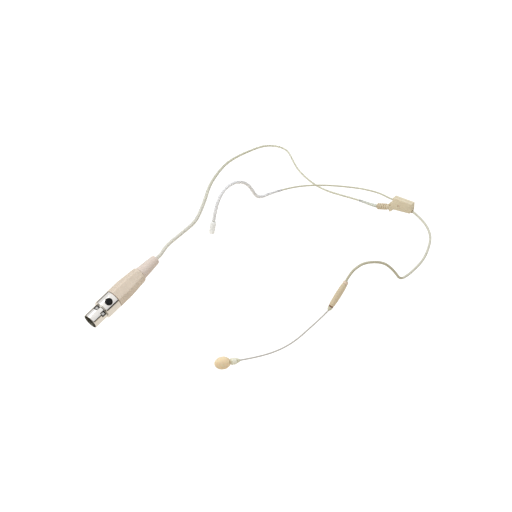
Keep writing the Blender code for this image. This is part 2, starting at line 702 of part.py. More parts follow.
def make_plug_shell():
    """The metal shell: mating barrel, wider body and threaded spigot, with button hole and windows."""
    outline = [(SPIGOT_RADIUS - 0.2, SPIGOT_END)]
    for groove in range(4):
        height = SPIGOT_END - 0.6 - THREAD_PITCH * groove
        outline += [(SPIGOT_RADIUS, height), (SPIGOT_RADIUS, height - 0.4)]
        outline += [(SPIGOT_RADIUS - 0.2, height - 0.7)]
    outline += [
        (SPIGOT_RADIUS - 0.2, BODY_END), (BODY_RADIUS - 0.15, BODY_END), (BODY_RADIUS, BODY_END - 0.2),
        (BODY_RADIUS, BARREL_LENGTH + 0.3), (BODY_RADIUS - 0.3, BARREL_LENGTH),
        (BARREL_RADIUS, BARREL_LENGTH), (BARREL_RADIUS, 0.15), (BARREL_RADIUS - 0.1, 0), (SHELL_BORE, 0),
        (SHELL_BORE, SPIGOT_END)]
    shell = turned("plug_shell", outline, PLUG_FRAME, (CHROME, 0.12, 1.0), SHELL_STEPS)
    hole = cylinder_mesh(BUTTON_RADIUS + 0.15, (2, 0, BUTTON_AT), (8, 0, BUTTON_AT))
    boolean(shell, "DIFFERENCE", make_tool("button_hole", hole, PLUG_FRAME))
    for name, side in (("left", 1), ("right", -1)):
        window = box_mesh((6, WINDOW_WIDTH, WINDOW_LENGTH), (3.1, side * WINDOW_SIDE, WINDOW_AT))
        boolean(shell, "DIFFERENCE", make_tool(f"{name}_window", window, PLUG_FRAME))


def make_plug_insert():
    """The insulating insert and its four socket contacts."""
    flange = SHELL_BORE - 0.1
    back = BODY_END - 0.3
    neck = back - 1.4
    outline = [(0, back), (flange, back), (flange, neck)]
    outline += [(INSERT_RADIUS, neck), (INSERT_RADIUS, 1.6), (0, 1.6)]
    insert = turned("contact_insert", outline, PLUG_FRAME, (BLACK, 0.5, 0.0))
    flat = box_mesh((2, 8, neck - 0.1), (INSERT_FLAT + 1, 0, (neck - 0.1) / 2))
    boolean(insert, "DIFFERENCE", make_tool("insert_flat", flat, PLUG_FRAME))
    cup = back + 2.3
    contact = [(0, cup), (CONTACT_RADIUS, cup), (CONTACT_RADIUS, 1.9), (0.25, 1.9), (0.25, 6), (0, 6)]
    for index in range(4):
        angle = math.tau * (index + 0.5) / 4
        x, y = CONTACT_CIRCLE * math.cos(angle), CONTACT_CIRCLE * math.sin(angle)
        hole = cylinder_mesh(CONTACT_RADIUS + 0.12, (x, y, 0), (x, y, cup), 12)
        boolean(insert, "DIFFERENCE", make_tool(f"contact_hole_{index}", hole, PLUG_FRAME))
        pin = turned(f"socket_contact_{index + 1}", contact, PLUG_FRAME, (BRASS, 0.3, 1.0), 12)
        pin.location = metres((x, y, 0))


def make_latch():
    """The release button and the sprung plate whose two tabs stand in the windows."""
    low, high = LATCH_SPAN
    strip = box_mesh((high - low, LATCH_WIDTH, LATCH_LENGTH), ((low + high) / 2, 0, LATCH_CENTRE))
    plate = add_piece("latch_plate", strip, PLUG_FRAME, STEEL_LOOK)
    for name, side in (("left", 1), ("right", -1)):
        tab = box_mesh((1.0, TAB_WIDTH, 1.7), (low + 0.5, side * WINDOW_SIDE, WINDOW_AT))
        boolean(plate, "UNION", make_tool(f"{name}_tab", tab, PLUG_FRAME))
    base = high + 0.1
    top = BUTTON_TOP
    rim = BUTTON_RADIUS
    place = frame_at("button_frame", plug_point(BUTTON_AT), plug_button_direction(), PLUG_ALONG)
    outline = [(0, top), (rim - 0.95, top - 0.08), (rim - 0.25, top - 0.3), (rim, top - 0.7)]
    outline += [(rim, base), (0, base)]
    turned("latch_button", outline, place, (BLACK, 0.35, 0.0))


def make_plug_handle():
    """The threaded handle, the cable clamp inside it, and the soft tail."""
    back = CLAMP_AT + 3.4
    front = SPIGOT_END - 3
    bore = PLUG_CABLE_RADIUS + 0.2
    clamp = [(3.9, back), (3.9, CLAMP_AT), (2.2, CLAMP_AT - 0.4), (2.2, front), (bore, front), (bore, back)]
    turned("cable_clamp", clamp, PLUG_FRAME, (CLEAR_WHITE, 0.5, 0.0), FINE_STEPS)
    thread = SPIGOT_RADIUS + 0.15
    step = SPIGOT_END + 1.4
    handle = [
        (4.75, HANDLE_END), (5.0, HANDLE_END - 0.3), (5.25, HANDLE_END - 2), (6.15, HANDLE_SHOULDER),
        (6.2, HANDLE_START + 0.2), (5.95, HANDLE_START), (thread, HANDLE_START), (thread, step), (4.5, step),
        (4.5, TAIL_LIP), (3.6, TAIL_LIP), (3.6, HANDLE_END)]
    shell = turned("plug_handle", handle, PLUG_FRAME, (LIGHT_BEIGE, 0.4, 0.0))
    flat_start, flat_end = HANDLE_FLAT_SPAN
    block = 20
    reach = HANDLE_FLAT_RADIUS + block / 2
    for index in range(HANDLE_FLATS):
        angle = HANDLE_TURN + math.tau * index / HANDLE_FLATS
        flat = box_mesh((block, block, flat_end - flat_start), (0, 0, 0))
        tool = make_tool(f"handle_flat_{index}", flat, PLUG_FRAME)
        middle = (reach * math.cos(angle), reach * math.sin(angle), (flat_start + flat_end) / 2)
        tool.location = metres(middle)
        tool.rotation_euler = (0, -HANDLE_FLAT_TILT, angle)
        boolean(shell, "DIFFERENCE", tool)
    tail = [
        (2.1, PLUG_LENGTH), (2.65, PLUG_LENGTH - 0.15), (3.0, PLUG_LENGTH - 0.6), (3.15, PLUG_LENGTH - 1.4),
        (4.25, TAIL_START), (3.35, TAIL_START), (3.35, TAIL_LIP - 0.3), (4.3, TAIL_LIP - 0.3),
        (4.3, TAIL_FLANGE_AT), (bore, TAIL_FLANGE_AT), (bore, PLUG_LENGTH)]
    turned("plug_tail", tail, PLUG_FRAME, (LIGHT_BEIGE, 0.55, 0.0))


make_yoke()
make_strain_relief()
make_right_arm()
make_left_arm()
make_boom_holder()
make_boom()
make_microphone_head()
make_cable()
make_plug_shell()
make_plug_insert()
make_latch()
make_plug_handle()
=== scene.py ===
"""Looks for the headset microphone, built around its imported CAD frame.

Lengths in this script are millimetres, and MM turns them into metres. Round pieces are rebuilt finer
than the CAD's facets, in the CAD's places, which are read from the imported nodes, mounts and joint axes.
Sizes of round pieces are radii. The outline of a turned piece is a list of (radius, height[, fillet])
points along its own axis.
"""

import json
import math

import bmesh
import bpy
import numpy as np
from mathutils import Matrix, Vector, noise


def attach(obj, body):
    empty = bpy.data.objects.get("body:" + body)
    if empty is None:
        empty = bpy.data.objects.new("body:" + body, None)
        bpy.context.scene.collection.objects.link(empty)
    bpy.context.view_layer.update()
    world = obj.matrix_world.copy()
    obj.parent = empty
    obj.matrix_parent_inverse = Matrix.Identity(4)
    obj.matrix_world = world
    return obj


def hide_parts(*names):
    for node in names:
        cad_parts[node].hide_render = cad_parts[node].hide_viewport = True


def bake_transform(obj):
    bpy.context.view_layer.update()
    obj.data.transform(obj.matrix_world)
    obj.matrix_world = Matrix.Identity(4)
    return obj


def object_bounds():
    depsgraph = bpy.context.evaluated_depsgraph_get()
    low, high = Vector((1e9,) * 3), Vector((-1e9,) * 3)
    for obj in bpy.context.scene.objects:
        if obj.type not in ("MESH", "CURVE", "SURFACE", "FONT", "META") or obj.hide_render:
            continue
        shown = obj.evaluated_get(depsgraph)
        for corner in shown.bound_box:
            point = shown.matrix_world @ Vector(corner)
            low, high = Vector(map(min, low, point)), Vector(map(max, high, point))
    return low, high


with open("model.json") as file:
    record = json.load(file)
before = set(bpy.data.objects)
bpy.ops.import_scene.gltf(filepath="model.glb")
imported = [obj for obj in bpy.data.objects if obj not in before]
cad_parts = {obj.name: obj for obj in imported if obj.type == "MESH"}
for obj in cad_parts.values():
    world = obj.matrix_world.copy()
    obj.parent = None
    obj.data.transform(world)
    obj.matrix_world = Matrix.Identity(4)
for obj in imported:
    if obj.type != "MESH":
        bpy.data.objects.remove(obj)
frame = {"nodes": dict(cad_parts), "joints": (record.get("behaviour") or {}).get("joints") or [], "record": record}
CAD_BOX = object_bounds()

MM = 0.001

# Mesh fineness. A ring narrower than POINT closes in one point.
ROUND = 72
FINE = 40
FILLET_STEPS = 5
POINT = 0.001

# The arms and the cable begin at the nape block, which is at the frame's origin.
ORIGIN = Vector((0, 0, 0))

# Strain relief, from its flange inside the block to its last rib
RELIEF_BASE = -2.2
RELIEF_END = 9.3
RIB_COUNT = 5
RIB_PITCH = 1.42
RIB_RADIUS = 2.15
RIB_ROOT = 1.35

# Right arm. Its sleeve runs SLEEVE_EXTRA points of the wire's line further than the CAD's.
RIGHT_WIRE = 0.57
SLEEVE_BORE = 0.6
SLEEVE_MOUTH = 0.72
SLEEVE_RADIUS = 1.08
SLEEVE_EXTRA = 8
TIP_LENGTH = 8.2

# Left arm. The band bulges most at BULGE_AT from the point where the bulge starts.
BAND_TUBE = 0.77
HOOK_TUBE = 0.57
HOOK_SLEEVE_BORE = 0.62
HOOK_SLEEVE_END = 0.72
TUBE_BORE = 0.42
LEAD = 0.3
BULGE = 1.1
BULGE_START = 3
BULGE_AT = 15
BULGE_SIDE = Vector((0.3, 0.8, 0.52)).normalized()

# Boom holder and boom. The holder sits HOLDER_RISE higher up its hook than the CAD's.
HOLDER_BASE = 1.8
HOLDER_END = 16.4
HOLDER_RISE = 2.7
BOOM = 0.45

# Microphone head, with its origin where the boot begins. DENT is the middle of the foam's dent and of the painted
# shade in it.
SCREEN_BASE = 6.02
SCREEN_MIDDLE = 10.45
SCREEN_HALF = 4.83
SCREEN_RADIUS = 3.66
SCREEN_BORE = 1.5
SCREEN_FLOOR = 11.0
DENT = Vector((1.2, -1.85, 6.9))

# Cable. It grows from thin to thick along the arch, and sags by CABLE_BOW beyond the tail's travel.
CABLE_THIN = 0.66
CABLE_THICK = 1.2
CABLE_BOW = 1.3
CABLE_BOW_AT = 10

# Plug, with its origin at the middle of the rim. The mount's point is on the rim, RIM_MIDDLE below.
# The handle's six flats take FLAT_DEPTH of its radius, and are turned by HANDLE_TURN from the button.
RIM_MIDDLE = 4.6
BARREL = 4.95
BARREL_END = 10.1
BODY = 6.15
BODY_END = 20.1
SPIGOT_END = 26.6
SHELL_BORE = 4.35
BUTTON_AT = 15.0
BUTTON_HOLE = 2.4
WINDOW_SIDE = 2.55
WINDOW_HALF = 1.35
HANDLE_START = 20.4
HANDLE_SHOULDER = 29.0
HANDLE_END = 43.0
HANDLE_TURN = math.radians(5)
FLAT_DEPTH = 0.105
TAIL_START = 43.3
TAIL_END = 57.5
TAIL_TRAVEL = 3.4

# Stage. The world's light by height is (position, level, colour), from straight down to straight up.
FLOOR_GLOW = 0.57
FLOOR_WHITE = 0.9
FLOOR_DROP = 60
WARM = (1.0, 0.9, 0.75)
COOL = (0.97, 0.98, 1.0)
SKY = (
    (0.0, 0.5, WARM), (0.52, 0.5, WARM), (0.54, 0.01, WARM),
    (0.62, 0.01, COOL), (0.66, 0.86, COOL), (1.0, 1.1, COOL))
KEY_POWER = 2.3
KEY_SIZE = 0.5
KEY_OFFSET = Vector((-0.25, -0.4, 0.75))

# Camera
LENS = 69.75
AZIMUTH = math.radians(46)
ELEVATION = math.radians(33)
DISTANCE = 620
TARGET = Vector((-35.74, -98.34, -10.26))

JOINTS = {joint["name"]: joint for joint in frame["joints"]}
MOUNTS = {mount["name"]: mount for mount in frame["record"]["mounts"]}


# ---------------------------------------------------------------- places taken from the frame


def joint_axis(name):
    """The direction of a joint of the record."""
    return Vector(JOINTS[name]["axis"]).normalized()


def node_points(node):
    """The separate points of a CAD node, in millimetres."""
    mesh = frame["nodes"][node].data
    points = np.array([vertex.co for vertex in mesh.vertices]).reshape(-1, 3) / MM
    return np.unique(points.round(3), axis=0)


def across(direction):
    """Two directions square to this one."""
    first = direction.orthogonal().normalized()
    return first, direction.cross(first)


def node_axis(node):
    """The long axis of a round CAD node."""
    points = node_points(node)
    _, _, directions = np.linalg.svd(points - points.mean(axis=0), full_matrices=False)
    return Vector(directions[0])


def axis_start(node, direction):
    """The point of a round node's axis where the node begins, along a direction."""
    points = node_points(node)
    centre = Vector((0, 0, 0))
    for square in across(direction):
        reach = points @ np.array(square)
        centre += square * float(reach.max() + reach.min()) / 2
    return centre + direction * float((points @ np.array(direction)).min())


def place_at(origin, z_axis, x_hint):
    """A matrix at a place in millimetres, with +Z along one direction and +X close to another."""
    z_axis = Vector(z_axis).normalized()
    y_axis = z_axis.cross(Vector(x_hint)).normalized()
    turn = Matrix((y_axis.cross(z_axis), y_axis, z_axis)).transposed().to_4x4()
    return Matrix.Translation(Vector(origin) * MM) @ turn


def rings_of(node, reach):
    """The middles of a CAD wire's rings of points. A ring's points are less than the reach apart."""
    points = node_points(node)
    gaps = np.linalg.norm(points[:, None] - points[None], axis=2)
    near = gaps < reach
    left = set(range(len(points)))
    middles = []
    while left:
        ring = {left.pop()}
        edge = set(ring)
        while edge:
            reached = set(np.nonzero(near[list(edge)].any(axis=0))[0].tolist())
            edge = (reached & left) - ring
            ring |= edge
            left -= edge
        middles.append(Vector(points[sorted(ring)].mean(axis=0)))
    return middles


def centre_line(node, begin, reach=0.85):
    """The middle line of a CAD wire or sleeve, from the end nearest to a point."""
    rest = rings_of(node, reach)
    line = [min(rest, key=lambda point: (point - Vector(begin)).length)]
    rest.remove(line[0])
    while rest:
        line.append(min(rest, key=lambda point: (point - line[-1]).length))
        rest.remove(line[-1])
    return line


def evened(line, longest=8):
    """The same line with its long straight pieces cut into shorter ones, in millimetres."""
    made = [line[0]]
    for start, end in zip(line, line[1:]):
        parts = max(1, round((end - start).length / longest))
        made += [start.lerp(end, part / parts) for part in range(1, parts + 1)]
    return made


def smooth(line, spacing=0.6):
    """A finer line through the same points."""
    line = evened(line)
    knots = [2 * line[0] - line[1]] + line + [2 * line[-1] - line[-2]]
    fine = [knots[1]]
    for before, start, end, after in zip(knots, knots[1:], knots[2:], knots[3:]):
        steps = max(1, round((end - start).length / spacing))
        for step in range(1, steps + 1):
            t = step / steps
            bend = 2 * before - 5 * start + 4 * end - after
            twist = 3 * start - 3 * end + after - before
            fine.append(start + 0.5 * t * ((end - before) + t * (bend + t * twist)))
    return fine


def relaxed(line, keep_start, keep_end, passes=40):
    """The same line with its small waves eased out, except near its ends, in millimetres."""
    step = (line[1] - line[0]).length
    first = max(1, round(keep_start / step))
    last = len(line) - max(1, round(keep_end / step))
    line = list(line)
    for _ in range(passes):
        trios = zip(line[first - 1:], line[first:last], line[first + 1:])
        line[first:last] = [(before + 2 * here + after) / 4 for before, here, after in trios]
    return line


def nearest(line, point):
    """The index of the line's point that is nearest to a point."""
    return min(range(len(line)), key=lambda index: (line[index] - point).length)


PLUG_BACK = joint_axis("tail_back_off")
BUTTON_UP = -joint_axis("latch_press")
PLUG_RIM = Vector(MOUNTS["plug_rim"]["pos_m"]) / MM + BUTTON_UP * RIM_MIDDLE
PLUG = place_at(PLUG_RIM, PLUG_BACK, BUTTON_UP)
HEAD_AXIS = joint_axis("windscreen_pull")
HEAD = place_at(axis_start("windscreen", HEAD_AXIS) - HEAD_AXIS * SCREEN_BASE, HEAD_AXIS, (0, 0, 1))
HOLDER_AXIS = joint_axis("boom_slide")
HOLDER_START = axis_start("holder_shell", HOLDER_AXIS) - HOLDER_AXIS * (HOLDER_BASE + HOLDER_RISE)
HOLDER = place_at(HOLDER_START, HOLDER_AXIS, (0, 0, 1))
RELIEF_AXIS = node_axis("strain_relief")
RELIEF_AXIS = -RELIEF_AXIS if RELIEF_AXIS.x > 0 else RELIEF_AXIS
RELIEF_START = axis_start("strain_relief", RELIEF_AXIS) - RELIEF_AXIS * RELIEF_BASE
RELIEF = place_at(RELIEF_START, RELIEF_AXIS, (0, 0, 1))
TIP_AXIS = node_axis("right_ear_tip")
TIP_AXIS = -TIP_AXIS if TIP_AXIS.z > 0 else TIP_AXIS
TIP = place_at(axis_start("right_ear_tip", TIP_AXIS), TIP_AXIS, (0, -1, 0))


# ---------------------------------------------------------------- mesh builders


def finish_mesh(name, shape, matrix, sharp=35):
    """An object from a bmesh, smooth except at sharp edges."""
    bmesh.ops.recalc_face_normals(shape, faces=shape.faces)
    mesh = bpy.data.meshes.new(name)
    shape.to_mesh(mesh)
    shape.free()
    mesh.shade_smooth()
    mesh.set_sharp_from_angle(angle=math.radians(sharp))
    obj = bpy.data.objects.new(name, mesh)
    bpy.context.scene.collection.objects.link(obj)
    obj.matrix_world = matrix
    return obj


def loft(name, rings, segments, looped, matrix=Matrix.Identity(4), sharp=35):
    """A closed skin through rings of (centre, side, side, radius). A ring of no radius is one point."""
    shape = bmesh.new()
    rows = []
    for centre, first, second, radius in rings:
        if not callable(radius) and radius < POINT:
            rows.append([shape.verts.new(centre * MM)])
            continue
        row = []
        for index in range(segments):
            angle = math.tau * index / segments
            reach = radius(angle) if callable(radius) else radius
            side = first * math.cos(angle) + second * math.sin(angle)
            row.append(shape.verts.new((centre + side * reach) * MM))
        rows.append(row)
    pairs = list(zip(rows, rows[1:]))
    if looped:
        pairs.append((rows[-1], rows[0]))
    for one, two in pairs:
        for index in range(segments):
            after = (index + 1) % segments
            spots = ((one, index), (two, index), (two, after), (one, after))
            corners = list(dict.fromkeys(row[place % len(row)] for row, place in spots))
            if len(corners) > 2:
                shape.faces.new(corners)
    return finish_mesh(name, shape, matrix, sharp)


def rounded(outline):
    """An outline of (radius, height[, fillet]) with its marked corners rounded."""
    count = len(outline)
    line = []
    for index, corner in enumerate(outline):
        here = Vector(corner[:2])
        size = corner[2] if len(corner) > 2 else 0
        inside = 0 < index < count - 1
        if size and inside:
            back = Vector(outline[index - 1][:2]) - here
            ahead = Vector(outline[index + 1][:2]) - here
            start = here + back.normalized() * min(size, back.length * 0.48)
            end = here + ahead.normalized() * min(size, ahead.length * 0.48)
            for step in range(FILLET_STEPS + 1):
                t = step / FILLET_STEPS
                line.append(start * (1 - t) ** 2 + here * 2 * t * (1 - t) + end * t * t)
        else:
            line.append(here)
    return line


def turned(name, outline, matrix, segments=ROUND, shaper=None, sharp=35):
    """A turned piece from its outline. A shaper gives a ring's radius at each angle."""
    line = rounded(outline)
    x_axis, y_axis = Vector((1, 0, 0)), Vector((0, 1, 0))
    rings = []
    for radius, height in line:
        reach = shaper(radius, height) if shaper else radius
        rings.append((Vector((0, 0, height)), x_axis, y_axis, reach))
    return loft(name, rings, segments, line[0][0] > POINT, matrix, sharp)


def sides_along(line):
    """A pair of sides at each point of a line, without twist."""
    pairs = []
    first = across((line[1] - line[0]).normalized())[0]
    for index in range(len(line)):
        ahead = line[min(index + 1, len(line) - 1)] - line[max(index - 1, 0)]
        ahead.normalize()
        first = (first - ahead * first.dot(ahead)).normalized()
        pairs.append((first, ahead.cross(first)))
    return pairs


def at_share(size, share):
    """A size that is either one number or a function of the share of the way along a line."""
    return size(share) if callable(size) else size


def cord(name, line, radius, segments=FINE):
    """A solid cord along a line, with rounded ends."""
    sides = sides_along(line)
    rings = [(line[0], *sides[0], 0)]
    last = len(line) - 1
    for index, point in enumerate(line):
        reach = at_share(radius, index / last)
        if index in (0, last):
            rings.append((point, *sides[index], reach * 0.75))
            inward = (line[1] - line[0]) if index == 0 else (line[last - 1] - line[last])
            inner = (point + inward.normalized() * reach * 0.3, *sides[index], reach)
            rings.insert(len(rings) if index == 0 else len(rings) - 1, inner)
        else:
            rings.append((point, *sides[index], reach))
    rings.append((line[last], *sides[last], 0))
    return loft(name, rings, segments, False)


def pipe(name, line, radius, bore, segments=FINE):
    """A hollow sleeve along a line."""
    sides = sides_along(line)
    last = len(line) - 1
    outer, inner = [
        [(point, *sides[index], at_share(size, index / last)) for index, point in enumerate(line)]
        for size in (radius, bore)]
    return loft(name, outer + inner[::-1], segments, True)


def cut_round(obj, matrix, radius, start, end):
    """Cut a round hole through a piece, between two local points."""
    start, end = Vector(start), Vector(end)
    sides = across((end - start).normalized())
    rings = [(start, *sides, 0), (start, *sides, radius), (end, *sides, radius), (end, *sides, 0)]
    boolean(obj, loft("cutter", rings, 64, False, matrix))


def cut_box(obj, matrix, low, high):
    """Cut a box out of a piece."""
    shape = bmesh.new()
    bmesh.ops.create_cube(shape, size=1.0)
    low, high = Vector(low), Vector(high)
    bmesh.ops.scale(shape, vec=(high - low) * MM, verts=shape.verts)
    bmesh.ops.translate(shape, vec=(high + low) / 2 * MM, verts=shape.verts)
    boolean(obj, finish_mesh("cutter", shape, matrix))


def boolean(obj, tool):
    """Cut a tool's shape out of a piece, then remove the tool."""
    modifier = obj.modifiers.new("cut", "BOOLEAN")
    modifier.operation = "DIFFERENCE"
    modifier.solver = "EXACT"
    modifier.object = tool
    apply_modifiers(obj)
    bpy.data.objects.remove(tool)


def apply_modifiers(obj, sharp=35):
    """Turn a piece's modifiers into mesh."""
    view = bpy.context.evaluated_depsgraph_get()
    made = bpy.data.meshes.new_from_object(obj.evaluated_get(view))
    obj.modifiers.clear()
    obj.data = made
    made.shade_smooth()
    made.set_sharp_from_angle(angle=math.radians(sharp))


def refined(name, node, width, sharp=50):
    """A copy of a CAD node's mesh with its points joined, flat faces whole and sharp edges eased."""
    shape = bmesh.new()
    shape.from_mesh(frame["nodes"][node].data)
    bmesh.ops.remove_doubles(shape, verts=shape.verts, dist=0.004 * MM)
    flat = math.radians(2)
    bmesh.ops.dissolve_limit(shape, angle_limit=flat, verts=shape.verts, edges=shape.edges)
    obj = finish_mesh(name, shape, Matrix.Identity(4), sharp)
    bevel = obj.modifiers.new("ease", "BEVEL")
    bevel.width = width * MM
    bevel.segments = 3
    bevel.limit_method = "ANGLE"
    bevel.angle_limit = math.radians(sharp)
    apply_modifiers(obj, sharp)
    return obj


# ---------------------------------------------------------------- materials


def linear(*levels):
    """A colour given as screen levels from 0 to 255, in linear light."""
    shares = [level / 255 for level in levels]
    return tuple(share / 12.92 if share < 0.04 else ((share + 0.055) / 1.055) ** 2.4 for share in shares)


def scaled(colour, factor):
    """A colour made darker or lighter, and never more than white."""
    return tuple(min(1, level * factor) for level in colour)


class Look:
    """A Principled material and short ways to add procedural detail to it."""

    def __init__(self, name, colour, roughness, metallic=0.0):
        self.material = bpy.data.materials.new(name)
        self.material.use_nodes = True
        self.tree = self.material.node_tree
        self.shader = self.tree.nodes["Principled BSDF"]
        self.colour = colour
        self.shader.inputs["Base Color"].default_value = (*colour, 1)
        self.shader.inputs["Roughness"].default_value = roughness
        self.shader.inputs["Metallic"].default_value = metallic
        self.place = self.node("ShaderNodeTexCoord").outputs["Object"]
        self.normal = None

    def node(self, kind, **inputs):
        """A new node with some of its inputs set or linked."""
        made = self.tree.nodes.new(kind)
        for key, value in inputs.items():
            self.feed(made.inputs[key.replace("_", " ")], value)
        return made

    def feed(self, socket, value):
        """Link an output to a socket, or set its value."""
        if isinstance(value, bpy.types.NodeSocket):
            self.tree.links.new(value, socket)
        else:
            socket.default_value = value

    def stretched(self, sizes):
        """The place, with each axis scaled by one over a grain size in millimetres."""
        mapping = self.node("ShaderNodeMapping", Vector=self.place)
        mapping.inputs["Scale"].default_value = [1 / (size * MM) for size in sizes]
        return mapping.outputs["Vector"]

    def noise(self, size, detail=3.0, sizes=None):
        """Noise with this grain size in millimetres, or with one size for each axis."""
        made = self.node("ShaderNodeTexNoise", Vector=self.stretched(sizes or (size,) * 3))
        made.inputs["Scale"].default_value = 1.0
        made.inputs["Detail"].default_value = detail
        made.inputs["Roughness"].default_value = 0.55
        return made.outputs["Fac"]

    def cells(self, size):
        """Distance to the nearest of many scattered points about this far apart."""
        made = self.node("ShaderNodeTexVoronoi", Vector=self.stretched((size,) * 3))
        made.inputs["Scale"].default_value = 1.0
        return made.outputs["Distance"]

    def mixed(self, share, one, two):
        """Two colours mixed."""
        made = self.tree.nodes.new("ShaderNodeMix")
        made.data_type = "RGBA"
        self.feed(made.inputs[0], share)
        for socket, value in ((made.inputs[6], one), (made.inputs[7], two)):
            self.feed(socket, (*value, 1) if isinstance(value, tuple) else value)
        return made.outputs[2]

    def ranged(self, value, low, high, start=0.3, end=0.7):
        """A value moved from one range to another."""
        made = self.node("ShaderNodeMapRange", Value=value)
        for key, number in (("From Min", start), ("From Max", end), ("To Min", low), ("To Max", high)):
            made.inputs[key].default_value = number
        return made.outputs["Result"]

    def tint(self, share, other):
        """Mix another colour into the base colour."""
        base = self.shader.inputs["Base Color"]
        source = base.links[0].from_socket if base.links else self.colour
        self.feed(base, self.mixed(share, source, other))

    def rough(self, value, low, high):
        """Let a value drive the roughness."""
        self.feed(self.shader.inputs["Roughness"], self.ranged(value, low, high))

    def bump(self, height, depth, strength=0.6):
        """Raise the surface by a height whose full range is this many millimetres."""
        made = self.node("ShaderNodeBump", Height=height)
        made.inputs["Distance"].default_value = depth * MM
        made.inputs["Strength"].default_value = strength
        if self.normal:
            self.feed(made.inputs["Normal"], self.normal)
        self.normal = made.outputs["Normal"]
        self.feed(self.shader.inputs["Normal"], self.normal)

    def wear(self, other):
        """Let raised edges take on a little of another colour."""
        point = self.node("ShaderNodeNewGeometry").outputs["Pointiness"]
        self.tint(self.ranged(point, 0.0, 0.35, 0.5, 0.62), other)

    def glow(self, share, scale, spread=(1.0, 0.85, 0.7)):
        """Let light scatter under the surface, over this many millimetres."""
        self.set(Subsurface_Weight=share, Subsurface_Scale=scale * MM, Subsurface_Radius=spread)

    def set(self, **inputs):
        """Set more of the shader's inputs."""
        for key, value in inputs.items():
            self.shader.inputs[key.replace("_", " ")].default_value = value


def moulded_plastic(name, colour, grain=0.16, depth=0.012, roughness=(0.38, 0.52), gloss=0.4):
    """Moulded plastic: faint flow marks, a fine spark-eroded grain and slightly polished edges."""
    look = Look(name, colour, sum(roughness) / 2)
    deeper = scaled(colour, 0.86)
    lighter = tuple(min(1, level * 1.1 + 0.02) for level in colour)
    look.tint(look.ranged(look.noise(3.5, 4), 0.0, 0.55), deeper)
    look.tint(look.ranged(look.noise(grain * 1.6, 2), 0.0, 0.25, 0.45, 0.8), deeper)
    look.wear(lighter)
    look.rough(look.noise(1.4), *roughness)
    look.bump(look.noise(grain, 2), depth)
    look.glow(0.08, 0.6)
    look.set(Specular_IOR_Level=gloss)
    return look


def soft_rubber(name, colour, roughness=(0.5, 0.66)):
    """Soft moulded rubber: matt, dusty in patches, with a fine pebbled skin."""
    look = Look(name, colour, sum(roughness) / 2)
    look.tint(look.ranged(look.noise(1.6, 5), 0.0, 0.6), scaled(colour, 0.84))
    look.tint(look.ranged(look.noise(0.4, 3), 0.0, 0.35, 0.55, 0.75), scaled(colour, 1.12))
    look.rough(look.noise(0.8), *roughness)
    look.bump(look.cells(0.14), 0.01, 0.4)
    look.glow(0.1, 0.8)
    look.set(Specular_IOR_Level=0.3)
    return look


def drawn_coat(name, colour, roughness=(0.28, 0.42), metallic=0.0):
    """A coat on drawn wire: satin, with faint patches and fine orange peel."""
    look = Look(name, colour, sum(roughness) / 2, metallic)
    look.tint(look.ranged(look.noise(2.2, 4), 0.0, 0.5), scaled(colour, 0.82))
    look.tint(look.ranged(look.noise(0.25, 3), 0.0, 0.3, 0.5, 0.8), scaled(colour, 1.15))
    look.rough(look.noise(0.6), *roughness)
    look.bump(look.noise(0.3, 2), 0.008, 0.4)
    look.set(Coat_Weight=0.15, Coat_Roughness=0.25)
    return look


def cable_jacket(name, colour, plug_colour):
    """An extruded cable jacket: smooth and matt with faint mottling, and milkier towards the plug."""
    look = drawn_coat(name, colour, (0.42, 0.55))
    forward = look.node("ShaderNodeSeparateXYZ", Vector=look.place).outputs["Y"]
    look.tint(look.ranged(forward, 1.0, 0.0, -0.12, -0.03), plug_colour)
    look.bump(look.noise(0.12, 2), 0.004, 0.3)
    look.glow(0.9, 2.2, (1.0, 1.0, 0.95))
    look.set(Coat_Weight=0.0)
    return look


def clear_silicone(name, colour):
    """Translucent silicone: milky, faintly streaked inside, with a soft sheen."""
    look = Look(name, colour, 0.3)
    look.tint(look.ranged(look.noise(1.8, 4), 0.0, 0.45), scaled(colour, 0.88))
    look.rough(look.noise(0.7), 0.22, 0.38)
    look.bump(look.noise(0.35, 3), 0.006, 0.35)
    look.glow(0.8, 1.4, (1.0, 1.0, 1.0))
    look.set(IOR=1.4, Specular_IOR_Level=0.45)
    return look


def bright_plate(name, colour):
    """Bright plating on turned metal: faint turning lines and wiped smudges."""
    look = Look(name, colour, 0.115, 1.0)
    look.tint(look.ranged(look.noise(2.5, 5), 0.0, 0.35), scaled(colour, 0.8))
    look.rough(look.noise(1.2, 5), 0.07, 0.16)
    look.bump(look.noise(0.1, 2, sizes=(4, 4, 0.05)), 0.0012, 0.25)
    return look


def turned_metal(name, colour, roughness=(0.22, 0.4)):
    """Plain turned metal with lathe lines and dull patches."""
    look = Look(name, colour, sum(roughness) / 2, 1.0)
    look.tint(look.ranged(look.noise(0.8, 4), 0.0, 0.5), scaled(colour, 0.75))
    look.rough(look.noise(0.5, 4), *roughness)
    look.bump(look.noise(0.1, 2, sizes=(2, 2, 0.04)), 0.003, 0.4)
    return look


